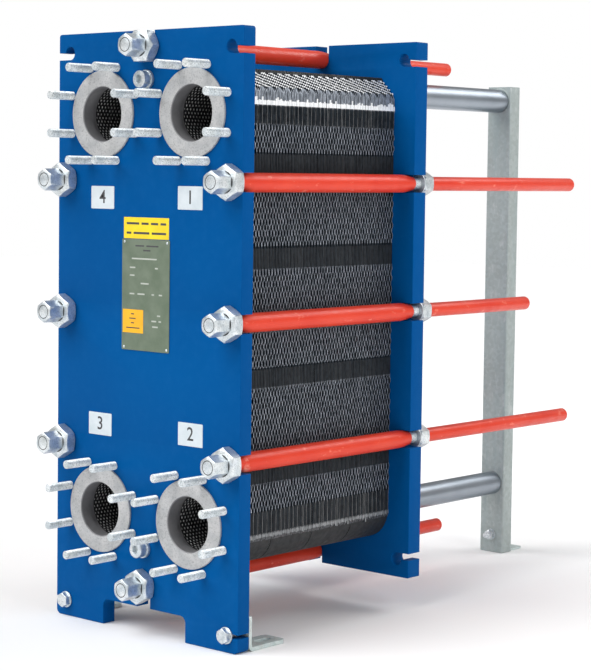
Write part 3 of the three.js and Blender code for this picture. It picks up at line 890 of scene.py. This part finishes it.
# ---- bars, column, brackets and their fasteners ----
def bars():
    for name, place in BARS.items():
        low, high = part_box(name)
        form = Form()
        turned(form, place, bevelled(0, BAR_RADIUS, low.y, high.y, 1.5 * MM)[1:-1], 64)
        piece(form, f"{name}_ground", "root", [POLISHED], [name])
        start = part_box(f"{name}_screw")[0].y
        face, washer, rim, head, socket = FRONT - GAP, 6 * MM, 17 * MM, 15 * MM, 14 * MM
        form = Form()
        turned(form, place, [
            (10.4 * MM, face), (16.7 * MM, face), (rim, face - 0.4 * MM),
            (rim, face - washer * 0.46), (16.2 * MM, face - washer * 0.5),
            (rim, face - washer * 0.54), (rim, face - washer + 0.4 * MM),
            (16.7 * MM, face - washer), (10.4 * MM, face - washer),
        ], closed=True)
        side = hexagon(socket)
        levels = (
            (start + 9 * MM, lambda a: side(a) * 0.98), (start + 1 * MM, side),
            (start, lambda a: side(a) + 0.8 * MM), (start, head - 1.5 * MM),
            (start + 1.5 * MM, head), (face - washer, head),
        )
        form.rows([ring(place, y, reach, 96) for y, reach in levels], caps=True)
        piece(form, f"{name}_cap_screw", "root", [ZINC], [f"{name}_screw"])


def column():
    """A galvanised box section with rolled corners; each bar has a seat and a bolt on it."""
    low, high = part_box("support_column")
    wall, bend, lip = 3 * MM, 4.5 * MM, 0.5 * MM
    outer = rounded(low.x, high.x, low.y, high.y, bend, 8)
    inner = rounded(low.x + wall, high.x - wall, low.y + wall, high.y - wall, bend - wall, 8)
    levels = (
        (outer, low.z + lip), (outer, high.z - lip), (inset(outer, lip), high.z),
        (inner, high.z), (inner, low.z), (inset(outer, lip), low.z),
    )
    form = Form()
    form.rows([[(x, y, z) for x, y in loop] for loop, z in levels], close=True)
    piece(form, "column_section", "root", [GALVANISED], ["support_column"])
    front, back = low.y, high.y
    inside, outside = BAR_RADIUS + 0.05 * MM, BAR_RADIUS + 3 * MM
    for name, place in BARS.items():
        form = Form()
        turned(form, place, [
            (0, back - 2 * MM), (12 * MM, back - 2 * MM),
            (12 * MM, back + 2.2 * MM), (0, back + 2.2 * MM),
        ])
        nut(form, place, back + 2 * MM, back + 12 * MM, 24 * MM, bevels=(False, True))
        piece(form, f"{name}_rear_bolt", "root", [ZINC])
        form = Form()
        turned(form, place, [
            (inside, front - 0.4 * MM), (BAR_RADIUS + 2.2 * MM, front - 0.4 * MM),
            (outside, front - 0.05 * MM), (outside, front + 0.5 * MM), (inside, front + 0.5 * MM),
        ], closed=True)
        piece(form, f"{name}_seat", "root", [GALVANISED])


def bracket(name, bolt, thickness, corner, slot_radius):
    """A bent bracket: an upright leg with the bolt's hole, and a slotted leg on the floor."""
    low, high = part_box(name)
    across, half = (low.x + high.x) / 2, 25 * MM
    left, right = across - half, across + half
    bend = thickness * 1.6

    def leg(start, end, radius, steps):
        return [
            (left, start + bend), (right, start + bend),
            *arc((right - radius, end - radius), radius, 0, 90, steps),
            *arc((left + radius, end - radius), radius, 90, 180, steps),
        ]

    form = Form()
    hole = circle(place_of(bolt), 8.5 * MM, 24)
    sheet(form, [leg(low.z, high.z, 4 * MM, 5), hole], low.y, low.y + thickness, 0.4 * MM)
    rows = []
    for angle in np.radians(np.linspace(180, 270, 7)):
        rows.append([])
        for radius, ends in ((bend, (left, right)), (bend - thickness, (right, left))):
            y = low.y + bend + radius * math.cos(angle)
            z = low.z + bend + radius * math.sin(angle)
            rows[-1] += [(x, y, z) for x in ends]
    form.rows(rows, caps=True)
    slot_middle = low.y + (high.y - low.y) * 0.64
    slot_half = (high.y - low.y) * 0.12
    slot = arc((across, slot_middle + slot_half), slot_radius, 180, 0, 12)
    slot += arc((across, slot_middle - slot_half), slot_radius, 0, -180, 12)
    flat = Form()
    sheet(flat, [leg(low.y, high.y, corner, 6), slot], low.z, low.z + thickness, 0.4 * MM)
    flat.points = [(x, z, y) for x, y, z in flat.points]
    form.join(flat)
    piece(form, f"{name}_bent", "root", [BRACKET_STEEL], [name])


def foot_bolt(node, head_face, nut_face, way, size):
    """A hexagon bolt with washers and nut; way is 1 when the nut is towards +Y."""
    radius, washer, across, head, nut_length, tail = size
    thin = radius * 0.3
    place = place_of(node)
    head_start, nut_start = head_face - way * thin, nut_face + way * thin
    form = Form()
    for ends in ((head_start, head_face), (nut_face, nut_start)):
        turned(form, place, bevelled(0, washer, min(ends), max(ends), 0.4 * MM), 40)
    near, far = sorted((head_start - way * head, head_start))
    nut(form, place, near, far, across, bevels=(way > 0, way < 0))
    near, far = sorted((nut_start, nut_start + way * nut_length))
    nut(form, place, near, far, across)
    near, far = sorted((head_start, nut_start + way * (nut_length + tail)))
    threaded(form, place, near, far, radius, 2 * MM, 1)
    piece(form, f"{node}_set", "root", [ZINC, THREAD], [node])


def feet():
    # bolt sizes: rod and washer radius, across flats, head and nut length, free thread
    front_size = (8 * MM, 15 * MM, 24 * MM, 10 * MM, 13 * MM, 6 * MM)
    column_size = (6 * MM, 12 * MM, 19 * MM, 8 * MM, 10 * MM, 11 * MM)
    for side in ("left", "right"):
        name, bolt, thickness = f"front_foot_bracket_{side}", f"foot_bolt_{side}", 7 * MM
        bracket(name, bolt, thickness, 10 * MM, 7 * MM)
        foot_bolt(bolt, FRONT - GAP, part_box(name)[0].y + thickness + GAP, 1, front_size)
    name, bolt, thickness = "column_foot_bracket", "column_foot_bolt", 4.5 * MM
    bracket(name, bolt, thickness, 6 * MM, 5.5 * MM)
    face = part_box("support_column")[0].y - GAP
    foot_bolt(bolt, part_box(name)[0].y + thickness + GAP, face, -1, column_size)


# ---- data plate and labels ----
def block(form, x0, x1, z0, z1, y0, y1, part=0):
    """A box whose sides and height are given in millimetres, and its depth in metres."""
    corners = [(x * MM, y) for x, y in ((x0, y0), (x1, y0), (x1, y1), (x0, y1))]
    form.rows([[(x, y, z * MM) for x, y in corners] for z in (z0, z1)], part, caps=True)


def data_plate():
    """A metal plate with plain strokes and four rivets."""
    low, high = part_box("nameplate")
    face, raised, tall = low.y, low.y - 0.12 * MM, 2.6
    form = Form()
    sheet(form, [rounded(low.x, high.x, low.z, high.z, 2 * MM, 5)], face, high.y, 0.25 * MM)
    pale_strokes = (  # height and ends
        (672, -35, 28), (656, -40, -26), (656, 24, 31), (642, -40, -28), (628, -12, 8),
        (609, -40, -28), (609, -20, -2), (609, 16, 22), (609, 34, 42), (572, 30, 38),
        (562, 16, 28), (562, 34, 40), (552, 18, 32),
    )
    dark_strokes = ((695, -26, -4), (695, 2, 32), (687, -6, 12))
    for part, strokes in ((1, pale_strokes), (2, dark_strokes)):
        for z, x0, x1 in strokes:
            block(form, x0, x1, z, z + tall, raised, face, part)
    rivet = [
        (0, face - 1.1 * MM), (1.5 * MM, face - 0.9 * MM), (2.3 * MM, face - 0.2 * MM),
        (2.3 * MM, face + 0.2 * MM),
    ]
    for x in (-54, 54):
        for z in (514, 703):
            turned(form, (x * MM, z * MM), rivet, 16, 3)
    materials = [DATA_PLATE, PALE_PRINT, INK, ZINC]
    piece(form, "data_plate", "root", materials, ["nameplate"])


def film(name, material, sides, back, bars, proud):
    """A printed film with plain bars: its sides and theirs are x0, x1, z0 and z1."""
    form = Form()
    front = back - 0.3 * MM
    block(form, *sides, front, back)
    for bar in bars:
        block(form, *bar, front - proud, front, 1)
    piece(form, name, "root", [material, INK])


def films():
    film("yellow_label", YELLOW, (-57, 57, 709, 747), FRONT - 0.05 * MM, (
        (-50, -18, 734, 738), (-12, 6, 734, 738), (12, 30, 734, 738), (36, 50, 734, 738),
        (-50, -38, 717, 721), (-32, 8, 717, 721), (14, 50, 717, 721),
    ), 0.05 * MM)
    film("orange_label", ORANGE, (-57, -5, 540, 582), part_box("nameplate")[0].y, (
        (-36, -28, 573, 575), (-40, -24, 565, 567), (-36, -28, 557, 559), (-48, -14, 548, 550),
    ), 0.06 * MM)


def numeral(text, place):
    """A numeral as a flat form that faces the front."""
    curve = bpy.data.curves.new("numeral", "FONT")
    curve.body = text
    curve.size = 34 * MM
    curve.align_x = curve.align_y = "CENTER"
    curve.extrude = 0.05 * MM
    curve.offset = 0.25 * MM
    curve.resolution_u = 3
    holder = added("numeral", curve)
    bpy.context.view_layer.update()
    evaluated = holder.evaluated_get(bpy.context.evaluated_depsgraph_get())
    mesh = bpy.data.meshes.new_from_object(evaluated)
    bpy.data.objects.remove(holder)
    mesh.transform(Matrix.Translation(place) @ Matrix.Rotation(math.pi / 2, 4, "X"))
    form = Form()
    form.points = [tuple(vertex.co) for vertex in mesh.vertices]
    form.faces = [tuple(polygon.vertices) for polygon in mesh.polygons]
    return form


def port_cards():
    """White cards with the numbers of the ports."""
    half_width, half_height = 30 * MM, 20.5 * MM
    for text, x, z in (("4", -113, 781), ("1", 108.5, 783.5), ("3", -116, 368), ("2", 114, 370)):
        x, z = x * MM, z * MM
        outline = rounded(
            x - half_width, x + half_width, z - half_height, z + half_height, 1.5 * MM
        )
        form = Form()
        sheet(form, [outline], FRONT - 0.6 * MM, FRONT - 0.05 * MM, 0.15 * MM)
        form.join(numeral(text, (x, FRONT - 0.63 * MM, z)), 1)
        piece(form, f"port_card_{text}", "root", [CARD, INK])


# ---- studio ----
def floor():
    """A pale floor that brightens far out, so that it meets the white background unseen."""
    n = Nodes("studio_floor", Emission_Color=(1, 1, 1, 1))
    away = n.add("ShaderNodeVectorMath", {0: n.place}, operation="LENGTH").outputs["Value"]
    n.link(n.spread(away, 0, 0.12, 1, 3), "Emission Strength")
    drift = n.spread(n.noise(1.5), 0, 1)
    n.link(n.blend(drift, (0.95, 0.95, 0.95, 1), (0.98, 0.98, 0.98, 1)), "Base Color")
    n.link(n.spread(n.noise(4, 2), 0.7, 0.8), "Roughness")
    mesh = bpy.data.meshes.new("studio_floor")
    size = 12
    corners = [(x * size, y * size, 0) for x, y in ((-1, -1), (1, -1), (1, 1), (-1, 1))]
    mesh.from_pydata(corners, [], [(0, 1, 2, 3)])
    mesh.materials.append(n.material)
    made = added("studio_floor", mesh)
    made.location.z = -0.5 * MM


def towards(way):
    """The rotation of a light that shines that way."""
    return Vector(way).to_track_quat("-Z", "Y").to_euler()


def lamp(name, place, size, power):
    """A broad lamp that shines at the middle of the object."""
    light = bpy.data.lights.new(name, "AREA")
    light.shape = "RECTANGLE"
    light.size, light.size_y = size
    light.energy = power
    made = added(name, light)
    made.location = place
    made.rotation_euler = towards(Vector((0, 0, 0.55)) - Vector(place))
    made.visible_camera = False


def studio():
    """A white studio: even light from all around and one broad light from above the ports.

    The background is brighter to the camera than as a light, so that it is white.
    """
    scene = bpy.context.scene
    scene.view_settings.view_transform = "Standard"
    world = bpy.data.worlds.new("studio")
    world.use_nodes = True
    nodes, links = world.node_tree.nodes, world.node_tree.links
    background = nodes["Background"]
    background.inputs["Color"].default_value = (1.0, 1.0, 1.0, 1)
    seen = nodes.new("ShaderNodeLightPath").outputs["Is Camera Ray"]
    strength = nodes.new("ShaderNodeMapRange")
    strength.inputs["To Min"].default_value = 0.36
    links.new(seen, strength.inputs["Value"])
    links.new(strength.outputs[0], background.inputs["Strength"])
    scene.world = world
    sky = bpy.data.lights.new("broad_light", "SUN")
    sky.energy = 2.7
    sky.angle = math.radians(60)
    added("broad_light", sky).rotation_euler = towards((0.35, 0.75, -0.9))
    lamp("side", (3.2, -0.7, 1.7), (1.4, 2.2), 36)
    lamp("back", (1.5, 2.6, 2.9), (2.6, 1.2), 48)


def camera():
    """A long lens to the front right, a little lower than the upper ports."""
    azimuth, down, roll = np.radians((41.395, 3.524, 0.714))
    place = (2.4769, FRONT - 2.4191, 0.8272)
    lens = bpy.data.cameras.new("camera")
    lens.sensor_width = 36
    lens.lens = 104.276066
    lens.shift_x, lens.shift_y = 0.00660209, -0.06210134
    lens.clip_start, lens.clip_end = 0.05, 100
    turn = Matrix.Rotation
    rotation = turn(azimuth, 4, "Z") @ turn(math.pi / 2 - down, 4, "X") @ turn(roll, 4, "Z")
    made = added("camera", lens)
    made.matrix_world = Matrix.Translation(place) @ rotation
    bpy.context.scene.camera = made


frame_plate()
pressure_plate()
ports()
tie_bolts()
plate_pack()
bars()
column()
feet()
data_plate()
films()
port_cards()
floor()
studio()
camera()
